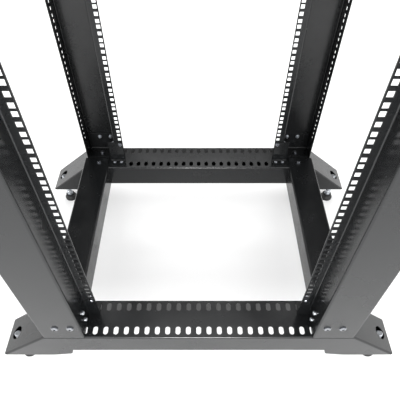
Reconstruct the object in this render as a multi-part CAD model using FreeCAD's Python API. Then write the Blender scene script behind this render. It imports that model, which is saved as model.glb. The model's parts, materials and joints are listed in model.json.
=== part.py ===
import FreeCAD, Part

import math
import os

# Open-frame four-post equipment rack, folded from sheet steel and powder coated black.
# Two base beams with sloped feet carry four open-sided posts, whose inner flanges are the
# mounting rails. Side beams lap over the base beams, and the top frame mirrors the bottom one.
# X runs to the right, Y to the back and Z up, in millimetres. The origin is on the floor,
# midway between the posts.

# Mounting rails, to the 19 inch rack pattern
UNIT = 44.45
UNITS = 18
HOLES_IN_UNIT = (6.35, 22.225, 38.1)
HOLE_SIZE = 9.5
HOLE_INSET = 7.55
RAIL_OPENING = 450.0
RAIL_DEPTH = 525.0
RAIL_END_MARGIN = 57.0

# Folded sheet
SHEET = 2.0
BEND = 2.5
BRACKET_SHEET = 2.5

# Posts
POST_RETURN = 58.0
RAIL_FLANGE = 27.3
POST_FACE = 92.7
SIDE_WALL = 50.0
SIDE_HOLE_LINE = 30.0

# Base and top beams
BEAM_WIDTH = 94.0
BEAM_FLANGE = 66.0
FLOOR_TO_PLATE = 178.0

# Sloped feet of the base beams
FOOT_DEPTH = 94.0
FOOT_REACH = 119.0
FOOT_HEEL = 45.0
FOOT_HEEL_RISE = 7.0
FOOT_HEEL_TAPER = 6.0
FOOT_HEEL_RADIUS = 10.0
ACCESS_HOLE = 32.0

# Slots in the base beams
SLOT_WIDTH = 11.0
SLOT_LENGTH = 19.5
SLOT_PITCH = 23.0
SLOTS_IN_ROW = 23
SLOT_ROW_INSET = 18.0

# Side beams
SIDE_BEAM_WIDTH = 77.0
SIDE_BEAM_OVERHANG = 8.0
SIDE_BEAM_FLANGE = 62.0
SIDE_BEAM_CLEARANCE = 4.0
SIDE_BEAM_GAP = 0.5

# Brackets inside the ends of the posts
POST_BRACKET_HEIGHT = 60.0
POST_BRACKET_DEPTH = 46.0
POST_BRACKET_GAP = 1.5

# Feet that hold the mounting rails to the beams
RAIL_FOOT_HEIGHT = 70.0
RAIL_FOOT_DEPTH = 29.0
RAIL_FOOT_CLEARANCE = 6.0
RAIL_FOOT_INSET = 1.0
RAIL_FOOT_BEVEL = 9.0

# Levelling feet
LEVELLER_INSET = 25.0
FOOT_PLATE_SHEET = 4.0
FOOT_PLATE_LENGTH = 54.0
FOOT_PLATE_LIP = 14.0
FOOT_PLATE_GAP = 0.3
STUD_DIAMETER = 16.0
STUD_CLEARANCE = 0.25
STUD_BELOW_SLOPE = 3.0
STUD_CHAMFER = 1.5
COLLAR_ACROSS_FLATS = 19.0
COLLAR_HEIGHT = 4.0
NUT_ACROSS_FLATS = 24.0
NUT_HEIGHT = 6.0
PAD_DIAMETER = 37.0
PAD_RIM = 6.0
PAD_HEIGHT = 18.0
PAD_NECK = 27.0
PAD_NECK_HEIGHT = 4.0
PAD_FLOOR = 3.0

# Places worked out from the sizes above
RAIL_PLANE = -RAIL_DEPTH / 2
OUTER_PLANE = RAIL_PLANE - POST_RETURN
INNER_PLANE = OUTER_PLANE + BEAM_WIDTH
RETURN_SIDE = RAIL_OPENING / 2 + RAIL_FLANGE - SHEET
POST_SIDE = RETURN_SIDE + POST_FACE
HOLE_LINE = RAIL_OPENING / 2 + HOLE_INSET
POST_BRACKET_BACK = OUTER_PLANE + SHEET + POST_BRACKET_DEPTH
SIDE_BEAM_OUTER = POST_SIDE + SIDE_BEAM_OVERHANG
SIDE_BEAM_INNER = SIDE_BEAM_OUTER - SIDE_BEAM_WIDTH
PLATE_TOP = FLOOR_TO_PLATE
POST_LENGTH = UNITS * UNIT + 2 * RAIL_END_MARGIN
MIDDLE_HEIGHT = PLATE_TOP + POST_LENGTH / 2
FOOT_TIP = POST_SIDE + FOOT_REACH
FOOT_BOTTOM = PLATE_TOP - FOOT_DEPTH
FLANGE_BOTTOM = PLATE_TOP - BEAM_FLANGE
SLOPE = math.atan2(FOOT_DEPTH, FOOT_REACH)
LEVELLER_SIDE = FOOT_TIP - LEVELLER_INSET
LEVELLER_PLANE = (OUTER_PLANE + INNER_PLANE) / 2

# How near two computed points lie when they are the same corner
EXACT = 0.01

RIGHT = FreeCAD.Vector(1, 0, 0)
BACK = FreeCAD.Vector(0, 1, 0)
UP = FreeCAD.Vector(0, 0, 1)


def point(x, y, z):
    return FreeCAD.Vector(x, y, z)


def cylinder(radius, height, base, axis=UP):
    return Part.makeCylinder(radius, height, base, axis)


def square_hole(centre, along):
    """A square cutter through centre, long enough for one sheet."""
    reach = point(HOLE_SIZE, HOLE_SIZE, HOLE_SIZE) / 2
    depth = point(abs(along.x), abs(along.y), abs(along.z)) * SHEET
    low = centre - reach - depth
    high = centre + reach + depth
    size = high - low
    return Part.makeBox(size.x, size.y, size.z, low)


def slab(low, high):
    """A box between its lowest and its highest corner."""
    size = high - low
    return Part.makeBox(size.x, size.y, size.z, low)


def prism(points, along):
    """A straight-sided outline, pushed along a vector."""
    return Part.Face(Part.makePolygon(points + points[:1])).extrude(along)


def hexagon(across_flats, height, base):
    corner = across_flats / math.sqrt(3)
    corners = []
    for turn in range(6):
        angle = math.radians(60 * turn)
        corners.append(base + point(corner * math.cos(angle), corner * math.sin(angle), 0))
    return prism(corners, UP * height)


def bent_line(points, radius):
    """A line through points whose corners are rounded, as a sheet bends."""
    edges = []
    start = points[0]
    for before, corner, after in zip(points, points[1:], points[2:]):
        incoming = (corner - before).normalize()
        outgoing = (after - corner).normalize()
        half_turn = incoming.getAngle(outgoing) / 2
        setback = radius * math.tan(half_turn)
        inward = (outgoing - incoming).normalize()
        arc_start = corner - incoming * setback
        arc_middle = corner + inward * (radius / math.cos(half_turn) - radius)
        arc_end = corner + outgoing * setback
        edges.append(Part.LineSegment(start, arc_start).toShape())
        edges.append(Part.Arc(arc_start, arc_middle, arc_end).toShape())
        start = arc_end
    edges.append(Part.LineSegment(start, points[-1]).toShape())
    return Part.Wire(edges)


def folded(points, along, sheet=SHEET):
    """A sheet folded to follow points, which are its middle line, pushed along a vector."""
    middle = bent_line(points, BEND + sheet / 2)
    left = middle.makeOffset2D(sheet / 2, join=0, fill=True, openResult=True)
    right = middle.makeOffset2D(-sheet / 2, join=0, fill=True, openResult=True)
    section = left.fuse(right).removeSplitter().Faces[0]
    return section.extrude(along)


def edges_along(solid, line):
    """The solid's edges that lie on a line of corners, as seen along Y."""
    found = []
    for edge in solid.Edges:
        middle = edge.CenterOfMass
        lengthwise = edge.BoundBox.YLength < EXACT
        for first, second in zip(line, line[1:]):
            on_line = distance_in_view(middle, (first + second) / 2) < EXACT
            if lengthwise and on_line:
                found.append(edge)
    return found


def distance_in_view(first, second):
    """The distance between two points as seen along Y."""
    return math.hypot(first.x - second.x, first.z - second.z)


def hole_heights():
    """The heights of every hole of a rail, above the foot of the post."""
    for unit in range(UNITS):
        for offset in HOLES_IN_UNIT:
            yield PLATE_TOP + RAIL_END_MARGIN + unit * UNIT + offset


# The pieces below are made at the front, on the right and at the bottom, and mirrored from there.


def post():
    """An open-sided post: rail flange, return, outer face and side wall, folded from one sheet."""
    half = SHEET / 2
    section = [
        point(RAIL_OPENING / 2, RAIL_PLANE + half, PLATE_TOP),
        point(RETURN_SIDE + half, RAIL_PLANE + half, PLATE_TOP),
        point(RETURN_SIDE + half, OUTER_PLANE + half, PLATE_TOP),
        point(POST_SIDE - half, OUTER_PLANE + half, PLATE_TOP),
        point(POST_SIDE - half, OUTER_PLANE + SIDE_WALL, PLATE_TOP),
    ]
    holes = []
    for height in hole_heights():
        holes.append(square_hole(point(HOLE_LINE, RAIL_PLANE + half, height), BACK))
        holes.append(square_hole(point(POST_SIDE - half, OUTER_PLANE + SIDE_HOLE_LINE, height), RIGHT))
    return folded(section, UP * POST_LENGTH).cut(holes)


def channel(top, bottom):
    """A channel open below: a plate along the top corners, with side flanges down to the bottom ones."""
    outer = prism([point(p.x, OUTER_PLANE, p.z) for p in top + bottom], BACK * BEAM_WIDTH)
    outer = outer.makeFillet(BEND + SHEET, edges_along(outer, top))
    heels = [edge for edge in outer.Edges if is_heel(edge)]
    if heels:
        outer = outer.makeFillet(FOOT_HEEL_RADIUS, heels)
    under = underside(top)
    below = [point(under[-1].x, 0, 0), point(under[0].x, 0, 0)]
    inner = prism([point(p.x, OUTER_PLANE + SHEET, p.z) for p in under + below],
                  BACK * (BEAM_WIDTH - 2 * SHEET))
    inner = inner.makeFillet(BEND, edges_along(inner, under))
    return outer.cut(inner)


def is_heel(edge):
    """Whether an edge across the beam is the corner where a foot steps up to the flange."""
    heel = point(POST_SIDE - FOOT_HEEL, 0, FOOT_BOTTOM + FOOT_HEEL_RISE)
    middle = edge.CenterOfMass
    across = edge.BoundBox.YLength > BEAM_WIDTH / 2
    return across and distance_in_view(point(abs(middle.x), 0, middle.z), heel) < EXACT


def underside(top):
    """The line one sheet below the top corners, run on at both ends along the same slopes."""
    lowered = []
    for before, corner, after in zip([None] + top, top, top[1:] + [None]):
        incoming = (corner - before).normalize() if before else (after - corner).normalize()
        outgoing = (after - corner).normalize() if after else incoming
        half_turn = incoming.getAngle(outgoing) / 2
        upward = (incoming + outgoing).normalize().cross(BACK)
        lowered.append(corner - upward * (SHEET / math.cos(half_turn)))
    return lowered


def slot(centre):
    """A round-ended cutter through the top plate, long along Y."""
    radius = SLOT_WIDTH / 2
    straight = SLOT_LENGTH - SLOT_WIDTH
    depth = 4 * SHEET
    low = centre - point(radius, straight / 2, depth / 2)
    high = centre + point(radius, straight / 2, depth / 2)
    near_end = cylinder(radius, depth, centre - point(0, straight / 2, depth / 2))
    far_end = cylinder(radius, depth, centre + point(0, straight / 2, -depth / 2))
    return slab(low, high).fuse([near_end, far_end]).removeSplitter()


def base_beam():
    """The front base beam, from foot to foot, with two rows of slots in its plate."""
    heel = POST_SIDE - FOOT_HEEL
    right_top = [point(POST_SIDE, 0, PLATE_TOP), point(FOOT_TIP, 0, FOOT_BOTTOM)]
    right_bottom = [
        point(POST_SIDE, 0, FOOT_BOTTOM),
        point(heel, 0, FOOT_BOTTOM + FOOT_HEEL_RISE),
        point(heel - FOOT_HEEL_TAPER, 0, FLANGE_BOTTOM),
    ]
    left_top = [point(-p.x, 0, p.z) for p in reversed(right_top)]
    left_bottom = [point(-p.x, 0, p.z) for p in reversed(right_bottom)]
    beam = channel(left_top + right_top, right_bottom + left_bottom)
    cutters = []
    for row in (OUTER_PLANE + SLOT_ROW_INSET, INNER_PLANE - SLOT_ROW_INSET):
        for place in range(SLOTS_IN_ROW):
            side = (place - (SLOTS_IN_ROW - 1) / 2) * SLOT_PITCH
            cutters.append(slot(point(side, row, PLATE_TOP - SHEET / 2)))
    normal = point(math.sin(SLOPE), 0, math.cos(SLOPE))
    depth = 4 * SHEET
    for side in (-1, 1):
        out = point(side * normal.x, 0, normal.z)
        centre = point(side * LEVELLER_SIDE, LEVELLER_PLANE, slope_height(LEVELLER_SIDE))
        cutters.append(cylinder(ACCESS_HOLE / 2, depth, centre - out * depth / 2, out))
    return beam.cut(cutters)


def slope_height(side):
    """The height of the foot's sloped top at a distance from the middle."""
    return PLATE_TOP - (side - POST_SIDE) * math.tan(SLOPE)


def crown_beam():
    """A plain channel between the posts, which mirrors the base beam without its feet."""
    half = SHEET / 2
    section = [
        point(-POST_SIDE, OUTER_PLANE + half, FLANGE_BOTTOM),
        point(-POST_SIDE, OUTER_PLANE + half, PLATE_TOP - half),
        point(-POST_SIDE, INNER_PLANE - half, PLATE_TOP - half),
        point(-POST_SIDE, INNER_PLANE - half, FLANGE_BOTTOM),
    ]
    return folded(section, RIGHT * (2 * POST_SIDE))


def side_beam():
    """The right side beam: a plate that laps over both base beams, with flanges between them."""
    half = SHEET / 2
    end = POST_BRACKET_BACK + SIDE_BEAM_CLEARANCE
    bottom = PLATE_TOP + SHEET - SIDE_BEAM_FLANGE
    section = [
        point(SIDE_BEAM_INNER + half, end, bottom),
        point(SIDE_BEAM_INNER + half, end, PLATE_TOP + half),
        point(SIDE_BEAM_OUTER - half, end, PLATE_TOP + half),
        point(SIDE_BEAM_OUTER - half, end, bottom),
    ]
    beam = folded(section, BACK * (-2 * end))
    flange_end = INNER_PLANE + SIDE_BEAM_GAP
    front_notch = slab(point(SIDE_BEAM_INNER - SHEET, end - SHEET, bottom - SHEET),
                       point(SIDE_BEAM_OUTER + SHEET, flange_end, PLATE_TOP))
    return beam.cut([front_notch, mirrored(front_notch, "rear")])


def post_bracket():
    """A three-sided bracket in the foot of a post: on its face, its return and the beam."""
    half = BRACKET_SHEET / 2
    near_side = RETURN_SIDE + SHEET
    far_side = POST_SIDE - SHEET - POST_BRACKET_GAP
    face = OUTER_PLANE + SHEET
    upright = [
        point(near_side, POST_BRACKET_BACK, PLATE_TOP + half),
        point(near_side, face + half, PLATE_TOP + half),
        point(near_side, face + half, PLATE_TOP + POST_BRACKET_HEIGHT),
    ]
    wall = [
        point(far_side, face + half, PLATE_TOP),
        point(near_side + half, face + half, PLATE_TOP),
        point(near_side + half, POST_BRACKET_BACK, PLATE_TOP),
    ]
    seat = folded(upright, RIGHT * (far_side - near_side), BRACKET_SHEET)
    corner = folded(wall, UP * POST_BRACKET_HEIGHT, BRACKET_SHEET)
    rounded_corner = slab(point(near_side, face, PLATE_TOP),
                          point(near_side + BEND + BRACKET_SHEET, face + BEND + BRACKET_SHEET,
                                PLATE_TOP + POST_BRACKET_HEIGHT))
    return seat.cut(rounded_corner).fuse(corner).removeSplitter()


def rail_foot():
    """An angle behind the foot of a rail flange, with a bevelled tab bolted to the beam."""
    half = BRACKET_SHEET / 2
    inner_side = RAIL_OPENING / 2 + RAIL_FOOT_INSET
    outer_side = SIDE_BEAM_INNER - RAIL_FOOT_CLEARANCE
    back = RAIL_PLANE + SHEET
    section = [
        point(inner_side, back + RAIL_FOOT_DEPTH, PLATE_TOP + half),
        point(inner_side, back + half, PLATE_TOP + half),
        point(inner_side, back + half, PLATE_TOP + RAIL_FOOT_HEIGHT),
    ]
    angle = folded(section, RIGHT * (outer_side - inner_side), BRACKET_SHEET)
    tip = point(outer_side, back + RAIL_FOOT_DEPTH, PLATE_TOP)
    bevel = prism([tip, tip - RIGHT * RAIL_FOOT_BEVEL, tip - BACK * RAIL_FOOT_BEVEL],
                  UP * BRACKET_SHEET)
    return angle.cut(bevel)


def foot_plate():
    """The plate inside a foot that the levelling stud screws through."""
    half = FOOT_PLATE_SHEET / 2
    top = FOOT_BOTTOM + FOOT_PLATE_SHEET
    inner_tip = FOOT_TIP - SHEET / math.sin(SLOPE)
    outer_side = inner_tip - FOOT_PLATE_SHEET / math.tan(SLOPE) - FOOT_PLATE_GAP
    inner_side = outer_side - FOOT_PLATE_LENGTH
    start = OUTER_PLANE + SHEET
    section = [
        point(outer_side, start, FOOT_BOTTOM + half),
        point(inner_side + half, start, FOOT_BOTTOM + half),
        point(inner_side + half, start, top + FOOT_PLATE_LIP),
    ]
    plate = folded(section, BACK * (BEAM_WIDTH - 2 * SHEET), FOOT_PLATE_SHEET)
    hole = cylinder(STUD_DIAMETER / 2 + STUD_CLEARANCE, 2 * FOOT_PLATE_SHEET,
                    point(LEVELLER_SIDE, LEVELLER_PLANE, FOOT_BOTTOM - half))
    return plate.cut(hole)


def leveller_stud():
    """The threaded stud, plain here, with the hexagon that turns it above the pad."""
    top = slope_height(LEVELLER_SIDE) - STUD_BELOW_SLOPE
    radius = STUD_DIAMETER / 2
    base = point(LEVELLER_SIDE, LEVELLER_PLANE, PAD_FLOOR)
    collar_base = point(LEVELLER_SIDE, LEVELLER_PLANE, PAD_HEIGHT)
    stud = cylinder(radius, top - PAD_FLOOR, base)
    rim = [edge for edge in stud.Edges if abs(edge.BoundBox.ZMin - top) < EXACT]
    stud = stud.makeChamfer(STUD_CHAMFER, rim)
    return stud.fuse(hexagon(COLLAR_ACROSS_FLATS, COLLAR_HEIGHT, collar_base))


def leveller_nut():
    """The lock nut, drawn up under the foot plate."""
    base = point(LEVELLER_SIDE, LEVELLER_PLANE, FOOT_BOTTOM - NUT_HEIGHT)
    nut = hexagon(NUT_ACROSS_FLATS, NUT_HEIGHT, base)
    return nut.cut(cylinder(STUD_DIAMETER / 2, NUT_HEIGHT, base))


def leveller_pad():
    """The round foot: a flat rim, and a cone up to the neck that holds the stud."""
    rim = PAD_DIAMETER / 2
    neck = PAD_NECK / 2
    stud = STUD_DIAMETER / 2
    cone_top = PAD_HEIGHT - PAD_NECK_HEIGHT
    outline = [
        point(0, 0, 0),
        point(rim, 0, 0),
        point(rim, 0, PAD_RIM),
        point(neck, 0, cone_top),
        point(neck, 0, PAD_HEIGHT),
        point(stud, 0, PAD_HEIGHT),
        point(stud, 0, PAD_FLOOR),
        point(0, 0, PAD_FLOOR),
        point(0, 0, 0),
    ]
    pad = Part.Face(Part.makePolygon(outline)).revolve(point(0, 0, 0), UP, 360)
    return pad.translated(point(LEVELLER_SIDE, LEVELLER_PLANE, 0))


def mirrored(shape, place):
    """The shape carried from the front, the right or the bottom to the opposite place."""
    if place == "rear":
        return shape.mirror(point(0, 0, 0), BACK)
    if place == "left":
        return shape.mirror(point(0, 0, 0), RIGHT)
    if place == "top":
        return shape.mirror(point(0, 0, MIDDLE_HEIGHT), UP)
    return shape


def rack():
    """Every piece of the rack, by name."""
    pieces = {}
    front_base = base_beam()
    front_crown = mirrored(crown_beam(), "top")
    right_beam = side_beam()
    for end in ("front", "rear"):
        pieces[f"base_beam_{end}"] = mirrored(front_base, end)
        pieces[f"top_beam_{end}"] = mirrored(front_crown, end)
    for side in ("left", "right"):
        for level in ("bottom", "top"):
            pieces[f"{level}_side_beam_{side}"] = mirrored(mirrored(right_beam, side), level)
    at_corners = {
        "post": post(),
        "foot_plate": foot_plate(),
        "leveller_stud": leveller_stud(),
        "leveller_nut": leveller_nut(),
        "leveller_pad": leveller_pad(),
    }
    at_post_ends = {
        "post_bracket": post_bracket(),
        "rail_foot": rail_foot(),
    }
    for end in ("front", "rear"):
        for side in ("left", "right"):
            for name, shape in at_corners.items():
                pieces[f"{name}_{end}_{side}"] = mirrored(mirrored(shape, end), side)
            for name, shape in at_post_ends.items():
                for level in ("bottom", "top"):
                    corner = mirrored(mirrored(shape, end), side)
                    pieces[f"{level}_{name}_{end}_{side}"] = mirrored(corner, level)
    return pieces


def main():
    os.makedirs("parts", exist_ok=True)
    for name, shape in rack().items():
        solid = shape.Solids[0]
        solid.exportStep(os.path.join("parts", name + ".step"))
        print(name, "valid" if solid.isValid() else "NOT VALID", len(shape.Solids), len(solid.Faces))


main()
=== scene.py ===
import json
import math
import random

import bmesh
import bpy
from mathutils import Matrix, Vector


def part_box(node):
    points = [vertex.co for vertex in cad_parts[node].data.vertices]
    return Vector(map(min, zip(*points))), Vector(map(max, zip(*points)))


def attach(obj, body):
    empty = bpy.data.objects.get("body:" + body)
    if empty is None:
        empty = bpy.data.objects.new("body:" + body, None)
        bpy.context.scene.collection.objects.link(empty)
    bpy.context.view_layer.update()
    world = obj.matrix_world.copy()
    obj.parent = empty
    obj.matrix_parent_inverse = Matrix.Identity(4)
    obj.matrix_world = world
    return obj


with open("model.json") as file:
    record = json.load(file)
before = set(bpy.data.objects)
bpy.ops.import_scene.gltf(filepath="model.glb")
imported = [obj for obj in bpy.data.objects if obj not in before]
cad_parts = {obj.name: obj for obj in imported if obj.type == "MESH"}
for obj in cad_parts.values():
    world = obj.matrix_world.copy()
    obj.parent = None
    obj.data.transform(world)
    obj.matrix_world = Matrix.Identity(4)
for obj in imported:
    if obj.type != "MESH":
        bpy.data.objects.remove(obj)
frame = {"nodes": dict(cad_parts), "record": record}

bl_info = {
    "name": "Open Frame Equipment Rack",
    "version": (1, 0, 0),
    "blender": (4, 5, 0),
    "location": "View3D > Sidebar > Rack",
    "description": "Finishes, fasteners and studio for an open-frame four-post equipment rack",
    "category": "Object",
}

MM = 0.001
BODY = "root"
SIDES = {"left": -1, "right": 1}
ENDS = {"front": -1, "rear": 1}
LEVELS = ("bottom", "top")

# Sheet that the screws pass through, as in the model
SHEET = 2.0 * MM
BRACKET_SHEET = 2.5 * MM

# Places of the screws and bolts on the front right bottom corner: across from the rack's middle,
# up from the plate of the base beam, and back from the post's front for the return screws, the
# rail's back for the rail foot screws and the bracket's front for the bracket bolt
FACE_SCREWS_ACROSS = (271.5 * MM, 304 * MM)
RETURN_SCREWS_BACK = 35 * MM
RETURN_SCREWS_UP = (19 * MM, 49 * MM)
RAIL_FOOT_SCREWS_ACROSS = (236 * MM, 256 * MM)
RAIL_FOOT_SCREWS_BACK = 12 * MM
RAIL_HOLES_ACROSS = 232.55 * MM
LOWEST_HOLE_UP = 63.35 * MM
BRACKET_BOLT_ACROSS = 300 * MM
BRACKET_BOLT_BACK = 27 * MM
SIDE_BEAM_BOLT_ACROSS = 304 * MM

# Levelling stud, as in the model, and the bare ends of its thread
STUD_DIAMETER = 16 * MM
STUD_CHAMFER = 1.5 * MM
COLLAR_HEIGHT = 4 * MM
FOOT_PLATE_SHEET = 4 * MM
THREAD_CLEARANCE = 0.8 * MM

# Base beam flanges, as in the model, and the lip along the bottom of the outer one: its width, and
# how far it reaches to each side of the middle
BEAM_FLANGE = 66 * MM
LIP_WIDTH = 13.5 * MM
LIP_REACH = 290 * MM

# Sides of what is round on a fastener
ROUND_SIDES = 28

# Shape of a pan head, as shares of its diameter, and its washer's thickness, as a share of a nut's
DOME_SPREAD = 0.58
RECESS_LENGTH = 0.5
RECESS_WIDTH = 0.13
PAN_WASHER = 1.12
PAN_WASHER_THICKNESS = 0.6

# Shape of a hexagon, as shares of its size across the flats, and half the width and height of the
# ball that chamfers it, as shares of that size and of its height
HEX_HEIGHT = 0.5
HEX_WASHER = 1.5
HEX_END = 0.6
CHAMFER_SPREAD = 0.6
CHAMFER_RISE = 0.9

# How far the end of a screw or a bolt stands out of its nut, and the boss on top of a bolt's head
SCREW_END = 2.5 * MM
BOLT_END = 3.5 * MM
BOLT_BOSS = 0.3 * MM

# Half width of a thread's ridge, a square on its corner, as a share of the pitch
RIDGE_SPREAD = 0.3

# Sizes of what shows in the finishes: the coat's patches and rounded edges, the plating's clouds,
# the mould's grain and the floor's mottle
PATCH_SIZE = 90 * MM
EDGE_ROUNDING = 0.9 * MM
CLOUD_SIZE = 6 * MM
MOULD_GRAIN = 0.8 * MM
FLOOR_MOTTLE = 1.5

# Angle between two faces past which their edge is drawn sharp
SHARP_ANGLE = math.radians(32)

# Ways that fasteners point on the front right bottom corner
FRONTWARDS = Vector((0, -1, 0))
CENTREWARDS = Vector((-1, 0, 0))
UPWARDS = Vector((0, 0, 1))

# Light: the white surround, the backdrop that the camera sees, and the dark ceiling with the way
# to its middle, the angle of its even part and the angle where it ends
SURROUND_LIGHT = 1.65
BACKDROP_LIGHT = 1.3
CEILING_LIGHT = 0.08
CEILING_WAY = (0, math.cos(math.radians(50)), math.sin(math.radians(50)))
CEILING_CORE = math.radians(30)
CEILING_EDGE = math.radians(46)

# Each soft box: where it hangs, what it looks at, width, height and power in watts
SOFT_BOXES = {
    "soft_box_above": ((0, 1.9, 2.8), (0, 1.9, 0), 1.8, 3.0, 34),
    "soft_box_front": ((0, -2.1, 1.1), (0, 0, 0.5), 0.5, 0.5, 38),
}

# The model's box before anything is added to it
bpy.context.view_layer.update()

# Planes of the front right corner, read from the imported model
POST_LOW, POST_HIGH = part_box("post_front_right")
BEAM_LOW, BEAM_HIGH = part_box("base_beam_front")
BRACKET_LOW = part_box("bottom_post_bracket_front_right")[0]
SIDE_BEAM_LOW, SIDE_BEAM_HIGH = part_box("bottom_side_beam_right")
STUD_LOW, STUD_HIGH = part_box("leveller_stud_front_right")
NUT_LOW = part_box("leveller_nut_front_right")[0]
PAD_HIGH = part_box("leveller_pad_front_right")[1]
FOOT_PLATE_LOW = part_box("foot_plate_front_right")[0]
PLATE_TOP = BEAM_HIGH.z
MIDDLE_HEIGHT = (POST_LOW.z + POST_HIGH.z) / 2


def srgb_to_linear(code):
    """The linear RGBA of a colour written as #rrggbb."""
    channels = [int(code[place:place + 2], 16) / 255 for place in (1, 3, 5)]
    linear = [c / 12.92 if c <= 0.04045 else ((c + 0.055) / 1.055) ** 2.4 for c in channels]
    return (*linear, 1.0)


def add_node(tree, kind, inputs=None, **settings):
    """Adds a node, sets its own settings, and gives each input a value, a link or several links."""
    node = tree.nodes.new(kind)
    for name, value in settings.items():
        setattr(node, name, value)
    for name, value in (inputs or {}).items():
        if isinstance(value, bpy.types.NodeSocket):
            tree.links.new(value, node.inputs[name])
        elif isinstance(value, list):
            for source in value:
                tree.links.new(source, node.inputs[name])
        else:
            node.inputs[name].default_value = value
    return node


class RackFinishes(bpy.types.PropertyGroup):
    """Colours and gloss of the rack's finishes"""
    coat_colour: bpy.props.FloatVectorProperty(
        name="Coat", description="Powder coat on the folded steel",
        subtype="COLOR", size=4, min=0, max=1, default=srgb_to_linear("#18191a"))
    coat_gloss: bpy.props.FloatProperty(
        name="Coat roughness", description="Roughness of the satin powder coat",
        subtype="FACTOR", min=0, max=1, default=0.24)
    coat_grain: bpy.props.FloatProperty(
        name="Coat grain", description="Size of the coat's orange peel",
        subtype="DISTANCE", unit="LENGTH", default=1.6 * MM)
    zinc_colour: bpy.props.FloatVectorProperty(
        name="Zinc", description="Bright zinc on screws and studs",
        subtype="COLOR", size=4, min=0, max=1, default=srgb_to_linear("#c4c7cb"))
    black_zinc_colour: bpy.props.FloatVectorProperty(
        name="Black zinc", description="Darker zinc on face screws, rail foot screws and bolts",
        subtype="COLOR", size=4, min=0, max=1, default=srgb_to_linear("#919397"))
    nylon_colour: bpy.props.FloatVectorProperty(
        name="Nylon", description="Moulded pads of the levelling feet",
        subtype="COLOR", size=4, min=0, max=1, default=srgb_to_linear("#161617"))


class RackFasteners(bpy.types.PropertyGroup):
    """Sizes of the screws, nuts and threads"""
    face_screw_height: bpy.props.FloatProperty(
        name="Face screws, height", description="Height of the post face's screws over the beam",
        subtype="DISTANCE", unit="LENGTH", default=47 * MM)
    pan_diameter: bpy.props.FloatProperty(
        name="Pan head", description="Diameter of the heads on the post faces",
        subtype="DISTANCE", unit="LENGTH", default=14 * MM)
    pan_height: bpy.props.FloatProperty(
        name="Pan head height", description="Height of a pan head",
        subtype="DISTANCE", unit="LENGTH", default=4.0 * MM)
    small_pan_diameter: bpy.props.FloatProperty(
        name="Small pan head", description="Diameter of the heads on returns and rail feet",
        subtype="DISTANCE", unit="LENGTH", default=9.5 * MM)
    nut_flats: bpy.props.FloatProperty(
        name="Nut size", description="Across the flats of a nut behind a pan head",
        subtype="DISTANCE", unit="LENGTH", default=8 * MM)
    bolt_flats: bpy.props.FloatProperty(
        name="Bolt size", description="Across the flats of a beam bolt's head",
        subtype="DISTANCE", unit="LENGTH", default=10 * MM)
    washer_thickness: bpy.props.FloatProperty(
        name="Washer thickness", description="Thickness of the washer under a nut or bolt",
        subtype="DISTANCE", unit="LENGTH", default=1 * MM)
    thread_pitch: bpy.props.FloatProperty(
        name="Thread pitch", description="Pitch of the levelling studs' thread",
        subtype="DISTANCE", unit="LENGTH", default=2 * MM)


class RackStudio(bpy.types.PropertyGroup):
    """Floor and camera"""
    floor_colour: bpy.props.FloatVectorProperty(
        name="Floor", description="Plain pale floor",
        subtype="COLOR", size=4, min=0, max=1, default=srgb_to_linear("#f2f2f2"))
    floor_size: bpy.props.FloatProperty(
        name="Floor size", description="Side of the square floor",
        subtype="DISTANCE", unit="LENGTH", default=14.0)
    camera_place: bpy.props.FloatVectorProperty(
        name="Camera", description="Where the camera stands",
        subtype="TRANSLATION", unit="LENGTH", size=3, default=(0.0, -0.7016, 1.0313))
    camera_dip: bpy.props.FloatProperty(
        name="Dip", description="How far the camera looks below the horizon",
        subtype="ANGLE", unit="ROTATION", default=math.radians(51.22))
    camera_lens: bpy.props.FloatProperty(
        name="Lens", description="Focal length in millimetres on a 36 mm sensor",
        subtype="DISTANCE_CAMERA", unit="CAMERA", default=37.0)
    camera_shift: bpy.props.FloatVectorProperty(
        name="Shift", description="Shift of the frame, as a share of its width",
        size=2, default=(0.0033, 0.075))


def mirrored_places(place, axis, levels=LEVELS):
    """A place and its axis on the front right bottom corner, carried to every corner."""
    places = []
    for side in SIDES.values():
        for end in ENDS.values():
            for level in levels:
                up = 1 if level == "bottom" else -1
                height = place.z if level == "bottom" else 2 * MIDDLE_HEIGHT - place.z
                spot = Vector((place.x * side, -place.y * end, height))
                way = Vector((axis.x * side, -axis.y * end, axis.z * up))
                places.append((spot, way))
    return places


def new_tree(name, sockets):
    """A geometry node tree with named inputs, and the sockets that carry them."""
    tree = bpy.data.node_groups.new(name, "GeometryNodeTree")
    tree.interface.new_socket("Geometry", in_out="INPUT", socket_type="NodeSocketGeometry")
    tree.interface.new_socket("Geometry", in_out="OUTPUT", socket_type="NodeSocketGeometry")
    for socket, kind in sockets.items():
        tree.interface.new_socket(socket, in_out="INPUT", socket_type=kind)
    entry = add_node(tree, "NodeGroupInput")
    return tree, entry.outputs


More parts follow.
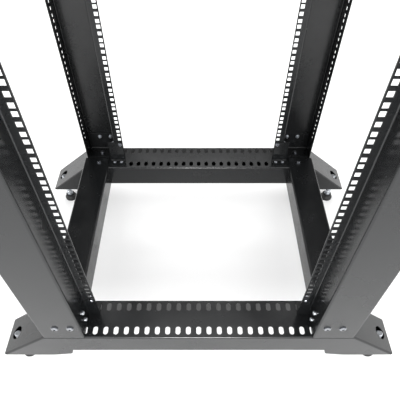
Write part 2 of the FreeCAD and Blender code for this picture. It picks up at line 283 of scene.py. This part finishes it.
def stand_on_points(tree, entry, shape):
    """Sets the shape on every point, along the point's own axis, and ends the tree."""
    axis = add_node(tree, "GeometryNodeInputNamedAttribute", {"Name": "axis"}, data_type="FLOAT_VECTOR")
    spin = add_node(tree, "GeometryNodeInputNamedAttribute", {"Name": "spin"}, data_type="FLOAT")
    turned = add_node(tree, "FunctionNodeAxisAngleToRotation",
                      {"Axis": (0, 0, 1), "Angle": spin.outputs["Attribute"]})
    aligned = add_node(tree, "FunctionNodeAlignRotationToVector",
                       {"Rotation": turned.outputs["Rotation"], "Vector": axis.outputs["Attribute"]},
                       axis="Z")
    instances = add_node(tree, "GeometryNodeInstanceOnPoints",
                         {"Points": entry["Geometry"], "Instance": shape,
                          "Rotation": aligned.outputs["Rotation"]})
    realized = add_node(tree, "GeometryNodeRealizeInstances",
                        {"Geometry": instances.outputs["Instances"]})
    finished = add_node(tree, "GeometryNodeSetMaterial",
                        {"Geometry": realized.outputs["Geometry"], "Material": entry["Material"]})
    add_node(tree, "NodeGroupOutput", {"Geometry": finished.outputs["Geometry"]})
    return tree


def flat_washer(tree, entry):
    """A washer that lies on the sheet, as the tree's own inputs size it."""
    size = add_node(tree, "ShaderNodeCombineXYZ",
                    {"X": entry["Washer diameter"], "Y": entry["Washer diameter"],
                     "Z": entry["Washer thickness"]})
    middle = add_node(tree, "ShaderNodeMath", {0: entry["Washer thickness"], 1: 0.5},
                      operation="MULTIPLY")
    place = add_node(tree, "ShaderNodeCombineXYZ", {"Z": middle.outputs[0]})
    disc = add_node(tree, "GeometryNodeMeshCylinder",
                    {"Vertices": ROUND_SIDES, "Radius": 0.5, "Depth": 1.0})
    washer = add_node(tree, "GeometryNodeTransform",
                      {"Geometry": disc.outputs["Mesh"], "Scale": size.outputs[0],
                       "Translation": place.outputs[0]})
    return washer.outputs["Geometry"]


def pan_head_tree():
    """A domed head with a straight rim and a cross recess, on a flat washer."""
    tree, entry = new_tree("Pan head screw", {
        "Head diameter": "NodeSocketFloat",
        "Head height": "NodeSocketFloat",
        "Recess length": "NodeSocketFloat",
        "Recess width": "NodeSocketFloat",
        "Washer diameter": "NodeSocketFloat",
        "Washer thickness": "NodeSocketFloat",
        "Material": "NodeSocketMaterial",
    })
    washer = flat_washer(tree, entry)

    double_height = add_node(tree, "ShaderNodeMath", {0: entry["Head height"], 1: 2.0},
                             operation="MULTIPLY")
    rim_size = add_node(tree, "ShaderNodeCombineXYZ",
                        {"X": entry["Head diameter"], "Y": entry["Head diameter"],
                         "Z": double_height.outputs[0]})
    rim = add_node(tree, "GeometryNodeMeshCylinder",
                   {"Vertices": ROUND_SIDES, "Radius": 0.5, "Depth": 1.0})
    rim = add_node(tree, "GeometryNodeTransform",
                   {"Geometry": rim.outputs["Mesh"], "Scale": rim_size.outputs[0]})
    head_size = add_node(tree, "ShaderNodeCombineXYZ",
                         {"X": entry["Head diameter"], "Y": entry["Head diameter"],
                          "Z": entry["Head height"]})
    dome_size = add_node(tree, "ShaderNodeVectorMath",
                         {0: head_size.outputs[0], 1: (DOME_SPREAD, DOME_SPREAD, 1.0)},
                         operation="MULTIPLY")
    dome = add_node(tree, "GeometryNodeMeshUVSphere",
                    {"Segments": ROUND_SIDES, "Rings": 14, "Radius": 1.0})
    dome = add_node(tree, "GeometryNodeTransform",
                    {"Geometry": dome.outputs["Mesh"], "Scale": dome_size.outputs[0]})
    head = add_node(tree, "GeometryNodeMeshBoolean",
                    {"Mesh 2": [rim.outputs["Geometry"], dome.outputs["Geometry"]]},
                    operation="INTERSECT", solver="EXACT")

    recess_place = add_node(tree, "ShaderNodeCombineXYZ", {"Z": entry["Head height"]})
    slots = []
    for long_side, short_side in (("X", "Y"), ("Y", "X")):
        size = add_node(tree, "ShaderNodeCombineXYZ",
                        {long_side: entry["Recess length"], short_side: entry["Recess width"],
                         "Z": entry["Head height"]})
        slot = add_node(tree, "GeometryNodeMeshCube", {"Size": (1, 1, 1)})
        slot = add_node(tree, "GeometryNodeTransform",
                        {"Geometry": slot.outputs["Mesh"], "Scale": size.outputs[0],
                         "Translation": recess_place.outputs[0]})
        slots.append(slot.outputs["Geometry"])
    head = add_node(tree, "GeometryNodeMeshBoolean", {"Mesh 1": head.outputs["Mesh"], "Mesh 2": slots},
                    operation="DIFFERENCE", solver="EXACT")
    head_place = add_node(tree, "ShaderNodeCombineXYZ", {"Z": entry["Washer thickness"]})
    head = add_node(tree, "GeometryNodeTransform",
                    {"Geometry": head.outputs["Mesh"], "Translation": head_place.outputs[0]})
    whole = add_node(tree, "GeometryNodeJoinGeometry",
                     {"Geometry": [washer, head.outputs["Geometry"]]})
    return stand_on_points(tree, entry, whole.outputs["Geometry"])


def hex_head_tree():
    """A chamfered hexagon on a flat washer, with a round end standing out of it."""
    tree, entry = new_tree("Hex nut or bolt", {
        "Across flats": "NodeSocketFloat",
        "Height": "NodeSocketFloat",
        "Washer diameter": "NodeSocketFloat",
        "Washer thickness": "NodeSocketFloat",
        "End diameter": "NodeSocketFloat",
        "End length": "NodeSocketFloat",
        "Material": "NodeSocketMaterial",
    })
    washer = flat_washer(tree, entry)

    hexagon_size = add_node(tree, "ShaderNodeCombineXYZ",
                            {"X": entry["Across flats"], "Y": entry["Across flats"],
                             "Z": entry["Height"]})
    corner_radius = 1 / math.sqrt(3)
    hexagon = add_node(tree, "GeometryNodeMeshCylinder",
                       {"Vertices": 6, "Radius": corner_radius, "Depth": 1.0})
    hexagon = add_node(tree, "GeometryNodeTransform",
                       {"Geometry": hexagon.outputs["Mesh"], "Scale": hexagon_size.outputs[0]})
    chamfer_size = add_node(tree, "ShaderNodeVectorMath",
                            {0: hexagon_size.outputs[0],
                             1: (CHAMFER_SPREAD, CHAMFER_SPREAD, CHAMFER_RISE)},
                            operation="MULTIPLY")
    chamfer = add_node(tree, "GeometryNodeMeshUVSphere",
                       {"Segments": ROUND_SIDES, "Rings": 20, "Radius": 1.0})
    chamfer = add_node(tree, "GeometryNodeTransform",
                       {"Geometry": chamfer.outputs["Mesh"], "Scale": chamfer_size.outputs[0]})
    hexagon = add_node(tree, "GeometryNodeMeshBoolean",
                       {"Mesh 2": [hexagon.outputs["Geometry"], chamfer.outputs["Geometry"]]},
                       operation="INTERSECT", solver="EXACT")
    middle = add_node(tree, "ShaderNodeMath",
                      {0: entry["Height"], 1: 0.5, 2: entry["Washer thickness"]},
                      operation="MULTIPLY_ADD")
    hexagon_place = add_node(tree, "ShaderNodeCombineXYZ", {"Z": middle.outputs[0]})
    hexagon = add_node(tree, "GeometryNodeTransform",
                       {"Geometry": hexagon.outputs["Mesh"], "Translation": hexagon_place.outputs[0]})

    end_size = add_node(tree, "ShaderNodeCombineXYZ",
                        {"X": entry["End diameter"], "Y": entry["End diameter"],
                         "Z": entry["End length"]})
    top = add_node(tree, "ShaderNodeMath", {0: entry["Height"], 1: entry["Washer thickness"]},
                   operation="ADD")
    end_middle = add_node(tree, "ShaderNodeMath",
                          {0: entry["End length"], 1: 0.5, 2: top.outputs[0]},
                          operation="MULTIPLY_ADD")
    end_place = add_node(tree, "ShaderNodeCombineXYZ", {"Z": end_middle.outputs[0]})
    end = add_node(tree, "GeometryNodeMeshCylinder", {"Vertices": 20, "Radius": 0.5, "Depth": 1.0})
    end = add_node(tree, "GeometryNodeTransform",
                   {"Geometry": end.outputs["Mesh"], "Scale": end_size.outputs[0],
                    "Translation": end_place.outputs[0]})
    whole = add_node(tree, "GeometryNodeJoinGeometry",
                     {"Geometry": [washer, hexagon.outputs["Geometry"], end.outputs["Geometry"]]})
    return stand_on_points(tree, entry, whole.outputs["Geometry"])


def thread_tree():
    """A helical ridge that stands on a plain stud as its thread."""
    tree, entry = new_tree("Thread", {
        "Stud diameter": "NodeSocketFloat",
        "Pitch": "NodeSocketFloat",
        "Length": "NodeSocketFloat",
        "Material": "NodeSocketMaterial",
    })
    radius = add_node(tree, "ShaderNodeMath", {0: entry["Stud diameter"], 1: 0.5},
                      operation="MULTIPLY")
    turns = add_node(tree, "ShaderNodeMath", {0: entry["Length"], 1: entry["Pitch"]},
                     operation="DIVIDE")
    helix = add_node(tree, "GeometryNodeCurveSpiral",
                     {"Resolution": ROUND_SIDES, "Rotations": turns.outputs[0],
                      "Start Radius": radius.outputs[0], "End Radius": radius.outputs[0],
                      "Height": entry["Length"]})
    ridge_radius = add_node(tree, "ShaderNodeMath", {0: entry["Pitch"], 1: RIDGE_SPREAD},
                            operation="MULTIPLY")
    section = add_node(tree, "GeometryNodeCurvePrimitiveCircle",
                       {"Resolution": 4, "Radius": ridge_radius.outputs[0]})
    ridge = add_node(tree, "GeometryNodeCurveToMesh",
                     {"Curve": helix.outputs["Curve"], "Profile Curve": section.outputs["Curve"],
                      "Fill Caps": True})
    return stand_on_points(tree, entry, ridge.outputs["Mesh"])


def set_on_places(name, tree, places, inputs, seed):
    """Runs a tree on points with an axis and a chance spin each, and keeps the result as one piece."""
    chance = random.Random(seed)
    points = bpy.data.meshes.new(name + "_points")
    points.from_pydata([place for place, axis in places], [], [])
    points.attributes.new("axis", "FLOAT_VECTOR", "POINT")
    points.attributes.new("spin", "FLOAT", "POINT")
    for number, (place, axis) in enumerate(places):
        points.attributes["axis"].data[number].vector = axis
        points.attributes["spin"].data[number].value = chance.uniform(0, math.tau)
    holder = bpy.data.objects.new(name + "_points", points)
    bpy.context.scene.collection.objects.link(holder)
    modifier = holder.modifiers.new("Shape", "NODES")
    modifier.node_group = tree
    for item in tree.interface.items_tree:
        if item.in_out == "INPUT" and item.name in inputs:
            modifier[item.identifier] = inputs[item.name]
    evaluated = holder.evaluated_get(bpy.context.evaluated_depsgraph_get())
    mesh = bpy.data.meshes.new_from_object(evaluated)
    bpy.data.objects.remove(holder)
    mesh.name = name
    mesh.shade_smooth()
    mesh.set_sharp_from_angle(angle=SHARP_ANGLE)
    piece = bpy.data.objects.new(name, mesh)
    bpy.context.scene.collection.objects.link(piece)
    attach(piece, BODY)


def new_material(name):
    """An empty node material, its tree and the Object coordinates."""
    material = bpy.data.materials.new(name)
    material.use_nodes = True
    tree = material.node_tree
    tree.nodes.clear()
    coordinates = add_node(tree, "ShaderNodeTexCoord").outputs["Object"]
    return material, tree, coordinates


def finish_material(tree, shader):
    """Links the shader to the material's output."""
    add_node(tree, "ShaderNodeOutputMaterial", {"Surface": shader.outputs["BSDF"]})


def powder_coat(finishes, name, wear):
    """Satin black powder coat, sprayed and baked on folded steel: a soft sheen over a fine orange
    peel, a little more gloss where hands slide, and rounded cut edges that catch the light."""
    material, tree, place = new_material(name)
    # The orange peel of a satin powder coat is a millimetre or two wide
    peel = add_node(tree, "ShaderNodeTexNoise",
                    {"Vector": place, "Scale": 1 / finishes.coat_grain, "Detail": 3.0,
                     "Roughness": 0.55})
    # Handling leaves patches about a palm wide, a little glossier or duller than the rest
    patches = add_node(tree, "ShaderNodeTexNoise",
                       {"Vector": place, "Scale": 1 / PATCH_SIZE, "Detail": 4.0, "Roughness": 0.6})
    low = max(finishes.coat_gloss - wear, 0.05)
    high = min(finishes.coat_gloss + wear, 1.0)
    gloss = add_node(tree, "ShaderNodeMapRange",
                     {"Value": patches.outputs["Fac"], "From Min": 0.35, "From Max": 0.65,
                      "To Min": low, "To Max": high})
    edge = add_node(tree, "ShaderNodeBevel", {"Radius": EDGE_ROUNDING}, samples=6)
    bump = add_node(tree, "ShaderNodeBump",
                    {"Height": peel.outputs["Fac"], "Strength": 0.12, "Distance": 0.15 * MM,
                     "Normal": edge.outputs["Normal"]})
    shader = add_node(tree, "ShaderNodeBsdfPrincipled",
                      {"Base Color": tuple(finishes.coat_colour), "Roughness": gloss.outputs["Result"],
                       "IOR": 1.52, "Normal": bump.outputs["Normal"]})
    finish_material(tree, shader)
    return material


def zinc_plate(name, colour, roughness):
    """Electroplated zinc on turned and pressed steel: a bright metal whose gloss and surface change
    a little every few millimetres, as the plating does."""
    material, tree, place = new_material(name)
    cloud = add_node(tree, "ShaderNodeTexNoise",
                     {"Vector": place, "Scale": 1 / CLOUD_SIZE, "Detail": 3.0})
    gloss = add_node(tree, "ShaderNodeMapRange",
                     {"Value": cloud.outputs["Fac"], "To Min": roughness * 0.7,
                      "To Max": roughness * 1.4})
    bump = add_node(tree, "ShaderNodeBump",
                    {"Height": cloud.outputs["Fac"], "Strength": 0.1, "Distance": 0.1 * MM})
    shader = add_node(tree, "ShaderNodeBsdfPrincipled",
                      {"Base Color": tuple(colour), "Metallic": 1.0,
                       "Roughness": gloss.outputs["Result"], "Normal": bump.outputs["Normal"]})
    finish_material(tree, shader)
    return material


def moulded_nylon(finishes):
    """Injection-moulded nylon: matt black with the fine spark-eroded grain of its mould."""
    material, tree, place = new_material("Moulded black nylon")
    grain = add_node(tree, "ShaderNodeTexNoise",
                     {"Vector": place, "Scale": 1 / MOULD_GRAIN, "Detail": 2.0})
    bump = add_node(tree, "ShaderNodeBump",
                    {"Height": grain.outputs["Fac"], "Strength": 0.25, "Distance": 0.1 * MM})
    gloss = add_node(tree, "ShaderNodeMapRange",
                     {"Value": grain.outputs["Fac"], "To Min": 0.42, "To Max": 0.6})
    shader = add_node(tree, "ShaderNodeBsdfPrincipled",
                      {"Base Color": tuple(finishes.nylon_colour), "IOR": 1.53,
                       "Roughness": gloss.outputs["Result"], "Normal": bump.outputs["Normal"]})
    finish_material(tree, shader)
    return material


def floor_paint(studio):
    """Rolled white emulsion: even and matt, with only a breath of variation over a metre or two."""
    material, tree, place = new_material("Matt white floor paint")
    tone = add_node(tree, "ShaderNodeTexNoise",
                    {"Vector": place, "Scale": 1 / FLOOR_MOTTLE, "Detail": 2.0})
    gloss = add_node(tree, "ShaderNodeMapRange",
                     {"Value": tone.outputs["Fac"], "To Min": 0.85, "To Max": 0.95})
    shader = add_node(tree, "ShaderNodeBsdfPrincipled",
                      {"Base Color": tuple(studio.floor_colour),
                       "Roughness": gloss.outputs["Result"]})
    finish_material(tree, shader)
    return material


class RACK_OT_finish_frame(bpy.types.Operator):
    """Gives every piece of the model its finish"""
    bl_idname = "rack.finish_frame"
    bl_label = "Finish the frame"

    def execute(self, context):
        finishes = context.scene.rack_finishes
        by_slot = {
            "frame_steel": powder_coat(finishes, "Satin black powder coat", wear=0.05),
            "bracket_steel": powder_coat(finishes, "Powder coat on brackets", wear=0.08),
            "plated_steel": zinc_plate("Bright zinc plate", finishes.zinc_colour, roughness=0.3),
            "pad_nylon": moulded_nylon(finishes),
        }
        zinc_plate("Black zinc plate", finishes.black_zinc_colour, roughness=0.2)
        for part in frame["record"]["subparts"]:
            mesh = frame["nodes"][part["node"]].data
            mesh.materials.clear()
            mesh.materials.append(by_slot[part["material_slot"]])
        return {"FINISHED"}


def pan_screws(name, places, diameter, metal, seed):
    """Pan heads with a cross recess and a thin washer under each."""
    sizes = bpy.context.scene.rack_fasteners
    set_on_places(name, bpy.data.node_groups["Pan head screw"], places, {
        "Head diameter": diameter,
        "Head height": sizes.pan_height,
        "Recess length": diameter * RECESS_LENGTH,
        "Recess width": diameter * RECESS_WIDTH,
        "Washer diameter": diameter * PAN_WASHER,
        "Washer thickness": sizes.washer_thickness * PAN_WASHER_THICKNESS,
        "Material": bpy.data.materials[metal],
    }, seed)


def hex_fasteners(name, places, flats, end_length, metal, seed):
    """Nuts with a screw's end standing out, or bolt heads where the end is short."""
    sizes = bpy.context.scene.rack_fasteners
    set_on_places(name, bpy.data.node_groups["Hex nut or bolt"], places, {
        "Across flats": flats,
        "Height": flats * HEX_HEIGHT,
        "Washer diameter": flats * HEX_WASHER,
        "Washer thickness": sizes.washer_thickness,
        "End diameter": flats * HEX_END,
        "End length": end_length,
        "Material": bpy.data.materials[metal],
    }, seed)


class RACK_OT_post_screws(bpy.types.Operator):
    """Sets the screws of the post brackets, and their nuts inside"""
    bl_idname = "rack.post_screws"
    bl_label = "Post screws"

    def execute(self, context):
        sizes = context.scene.rack_fasteners
        pan_head_tree()
        hex_head_tree()
        face_heads = []
        return_heads = []
        nuts = []
        height = PLATE_TOP + sizes.face_screw_height
        for across in FACE_SCREWS_ACROSS:
            outside = Vector((across, POST_LOW.y, height))
            inside = Vector((across, POST_LOW.y + SHEET + BRACKET_SHEET, height))
            face_heads += mirrored_places(outside, FRONTWARDS)
            nuts += mirrored_places(inside, -FRONTWARDS)
        depth = POST_LOW.y + RETURN_SCREWS_BACK
        for up in RETURN_SCREWS_UP:
            outside = Vector((BRACKET_LOW.x - SHEET, depth, PLATE_TOP + up))
            inside = Vector((BRACKET_LOW.x + BRACKET_SHEET, depth, PLATE_TOP + up))
            return_heads += mirrored_places(outside, CENTREWARDS)
            nuts += mirrored_places(inside, -CENTREWARDS)
        pan_screws("post_face_screws", face_heads, sizes.pan_diameter, "Black zinc plate", seed=2)
        pan_screws("post_return_screws", return_heads, sizes.small_pan_diameter, "Bright zinc plate",
                   seed=3)
        hex_fasteners("post_bracket_nuts", nuts, sizes.nut_flats, SCREW_END, "Bright zinc plate", seed=4)
        return {"FINISHED"}


class RACK_OT_rail_foot_screws(bpy.types.Operator):
    """Sets the screws that hold the rail feet to the beams and the rails"""
    bl_idname = "rack.rail_foot_screws"
    bl_label = "Rail foot screws"

    def execute(self, context):
        sizes = context.scene.rack_fasteners
        heads = []
        nuts = []
        depth = POST_HIGH.y + RAIL_FOOT_SCREWS_BACK
        for across in RAIL_FOOT_SCREWS_ACROSS:
            heads += mirrored_places(Vector((across, depth, PLATE_TOP + BRACKET_SHEET)), UPWARDS)
            nuts += mirrored_places(Vector((across, depth, PLATE_TOP - SHEET)), -UPWARDS)
        height = PLATE_TOP + LOWEST_HOLE_UP
        outside = Vector((RAIL_HOLES_ACROSS, POST_HIGH.y - SHEET, height))
        inside = Vector((RAIL_HOLES_ACROSS, POST_HIGH.y + BRACKET_SHEET, height))
        heads += mirrored_places(outside, FRONTWARDS)
        nuts += mirrored_places(inside, -FRONTWARDS)
        pan_screws("rail_foot_screws", heads, sizes.small_pan_diameter, "Black zinc plate", seed=5)
        hex_fasteners("rail_foot_nuts", nuts, sizes.nut_flats, SCREW_END, "Black zinc plate", seed=6)
        return {"FINISHED"}


class RACK_OT_beam_bolts(bpy.types.Operator):
    """Sets the hex bolts that hold the brackets and the side beams to the base and top beams"""
    bl_idname = "rack.beam_bolts"
    bl_label = "Beam bolts"

    def execute(self, context):
        sizes = context.scene.rack_fasteners
        seat_depth = BRACKET_LOW.y + BRACKET_BOLT_BACK
        lap_depth = (BEAM_HIGH.y + SIDE_BEAM_LOW.y) / 2
        seats = (
            (BRACKET_BOLT_ACROSS, seat_depth, PLATE_TOP + BRACKET_SHEET),
            (SIDE_BEAM_BOLT_ACROSS, lap_depth, SIDE_BEAM_HIGH.z),
        )
        bolts = []
        nuts = []
        for across, depth, height in seats:
            bolts += mirrored_places(Vector((across, depth, height)), UPWARDS)
            nuts += mirrored_places(Vector((across, depth, PLATE_TOP - SHEET)), -UPWARDS)
        hex_fasteners("beam_bolts", bolts, sizes.bolt_flats, BOLT_BOSS, "Black zinc plate", seed=7)
        hex_fasteners("beam_bolt_nuts", nuts, sizes.bolt_flats, BOLT_END, "Black zinc plate", seed=8)
        return {"FINISHED"}


class RACK_OT_beam_lips(bpy.types.Operator):
    """Folds a narrow lip inwards along the bottom of each base beam's outer flange"""
    bl_idname = "rack.beam_lips"
    bl_label = "Base beam lips"

    def execute(self, context):
        builder = bmesh.new()
        height = PLATE_TOP - BEAM_FLANGE + SHEET / 2
        for end in ENDS.values():
            depth = -end * (BEAM_LOW.y + SHEET + LIP_WIDTH / 2)
            corners = bmesh.ops.create_cube(builder, size=1)["verts"]
            bmesh.ops.scale(builder, vec=(2 * LIP_REACH, LIP_WIDTH, SHEET), verts=corners)
            bmesh.ops.translate(builder, vec=(0, depth, height), verts=corners)
        mesh = bpy.data.meshes.new("base_beam_lips")
        builder.to_mesh(mesh)
        builder.free()
        mesh.materials.append(bpy.data.materials["Satin black powder coat"])
        piece = bpy.data.objects.new("base_beam_lips", mesh)
        context.scene.collection.objects.link(piece)
        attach(piece, BODY)
        return {"FINISHED"}


class RACK_OT_stud_threads(bpy.types.Operator):
    """Winds the thread of the levelling studs under and over the foot plate, as a raised helix"""
    bl_idname = "rack.stud_threads"
    bl_label = "Stud threads"

    def execute(self, context):
        sizes = context.scene.rack_fasteners
        tree = thread_tree()
        middle = (STUD_LOW + STUD_HIGH) / 2
        stretches = {
            "lower": (PAD_HIGH.z + COLLAR_HEIGHT, NUT_LOW.z),
            "upper": (FOOT_PLATE_LOW.z + FOOT_PLATE_SHEET, STUD_HIGH.z - STUD_CHAMFER),
        }
        for name, (bottom, top) in stretches.items():
            start = Vector((middle.x, middle.y, bottom + THREAD_CLEARANCE))
            studs = mirrored_places(start, UPWARDS, levels=("bottom",))
            set_on_places(f"stud_threads_{name}", tree, studs, {
                "Stud diameter": STUD_DIAMETER,
                "Pitch": sizes.thread_pitch,
                "Length": top - bottom - 2 * THREAD_CLEARANCE,
                "Material": bpy.data.materials["Bright zinc plate"],
            }, seed=9)
        return {"FINISHED"}


def studio_world():
    """A white surround, with a dark ceiling behind the rack that the upper faces mirror."""
    world = bpy.data.worlds.new("Studio")
    world.use_nodes = True
    tree = world.node_tree
    tree.nodes.clear()
    direction = add_node(tree, "ShaderNodeTexCoord").outputs["Generated"]
    nearness = add_node(tree, "ShaderNodeVectorMath", {0: direction, 1: CEILING_WAY},
                        operation="DOT_PRODUCT")
    fall = add_node(tree, "ShaderNodeMapRange",
                    {"Value": nearness.outputs["Value"],
                     "From Min": math.cos(CEILING_EDGE), "From Max": math.cos(CEILING_CORE),
                     "To Min": SURROUND_LIGHT, "To Max": CEILING_LIGHT})
    lit = add_node(tree, "ShaderNodeBackground",
                   {"Color": (1, 1, 1, 1), "Strength": fall.outputs["Result"]})
    seen = add_node(tree, "ShaderNodeBackground", {"Color": (1, 1, 1, 1), "Strength": BACKDROP_LIGHT})
    path = add_node(tree, "ShaderNodeLightPath")
    mix = add_node(tree, "ShaderNodeMixShader",
                   {0: path.outputs["Is Camera Ray"], 1: lit.outputs[0], 2: seen.outputs[0]})
    add_node(tree, "ShaderNodeOutputWorld", {"Surface": mix.outputs[0]})
    return world


def soft_box(name, place, aim, width, height, power):
    """A rectangular light that looks from place to aim."""
    lamp = bpy.data.lights.new(name, "AREA")
    lamp.shape = "RECTANGLE"
    lamp.size = width
    lamp.size_y = height
    lamp.energy = power
    holder = bpy.data.objects.new(name, lamp)
    holder.location = place
    holder.rotation_euler = (Vector(aim) - Vector(place)).to_track_quat("-Z", "Y").to_euler()
    bpy.context.scene.collection.objects.link(holder)


class RACK_OT_studio(bpy.types.Operator):
    """Makes the pale floor, the soft light and the camera"""
    bl_idname = "rack.studio"
    bl_label = "Studio"

    def execute(self, context):
        scene = context.scene
        studio = scene.rack_studio
        half = studio.floor_size / 2
        mesh = bpy.data.meshes.new("studio_floor")
        mesh.from_pydata([(-half, -half, 0), (half, -half, 0), (half, half, 0), (-half, half, 0)],
                         [], [(0, 1, 2, 3)])
        mesh.materials.append(floor_paint(studio))
        floor = bpy.data.objects.new("studio_floor", mesh)
        scene.collection.objects.link(floor)

        scene.world = studio_world()
        for name, (place, aim, width, height, power) in SOFT_BOXES.items():
            soft_box(name, place, aim, width, height, power)

        camera = bpy.data.cameras.new("Camera")
        camera.lens = studio.camera_lens
        camera.sensor_width = 36
        camera.clip_start = 0.02
        camera.shift_x, camera.shift_y = studio.camera_shift
        holder = bpy.data.objects.new("Camera", camera)
        holder.location = studio.camera_place
        holder.rotation_euler = (math.pi / 2 - studio.camera_dip, 0, 0)
        scene.collection.objects.link(holder)
        scene.camera = holder
        scene.view_settings.view_transform = "Standard"
        scene.view_settings.look = "Medium High Contrast"
        return {"FINISHED"}


class RACK_PT_tools(bpy.types.Panel):
    """Lists what the add-on makes"""
    bl_idname = "RACK_PT_tools"
    bl_label = "Rack"
    bl_space_type = "VIEW_3D"
    bl_region_type = "UI"
    bl_category = "Rack"

    def draw(self, context):
        for operator in OPERATORS:
            self.layout.operator(operator.bl_idname)
        for group in GROUPS:
            settings = getattr(context.scene, group)
            box = self.layout.box()
            for name in settings.__annotations__:
                box.prop(settings, name)


GROUPS = {"rack_finishes": RackFinishes, "rack_fasteners": RackFasteners, "rack_studio": RackStudio}
OPERATORS = (
    RACK_OT_finish_frame,
    RACK_OT_post_screws,
    RACK_OT_rail_foot_screws,
    RACK_OT_beam_bolts,
    RACK_OT_beam_lips,
    RACK_OT_stud_threads,
    RACK_OT_studio,
)


def register():
    for name, group in GROUPS.items():
        bpy.utils.register_class(group)
        setattr(bpy.types.Scene, name, bpy.props.PointerProperty(type=group))
    for operator in OPERATORS:
        bpy.utils.register_class(operator)
    bpy.utils.register_class(RACK_PT_tools)


def unregister():
    bpy.utils.unregister_class(RACK_PT_tools)
    for operator in reversed(OPERATORS):
        bpy.utils.unregister_class(operator)
    for name, group in GROUPS.items():
        delattr(bpy.types.Scene, name)
        bpy.utils.unregister_class(group)


def main():
    register()
    bpy.ops.rack.finish_frame()
    bpy.ops.rack.post_screws()
    bpy.ops.rack.rail_foot_screws()
    bpy.ops.rack.beam_bolts()
    bpy.ops.rack.beam_lips()
    bpy.ops.rack.stud_threads()
    bpy.ops.rack.studio()


if __name__ == "__main__":
    main()
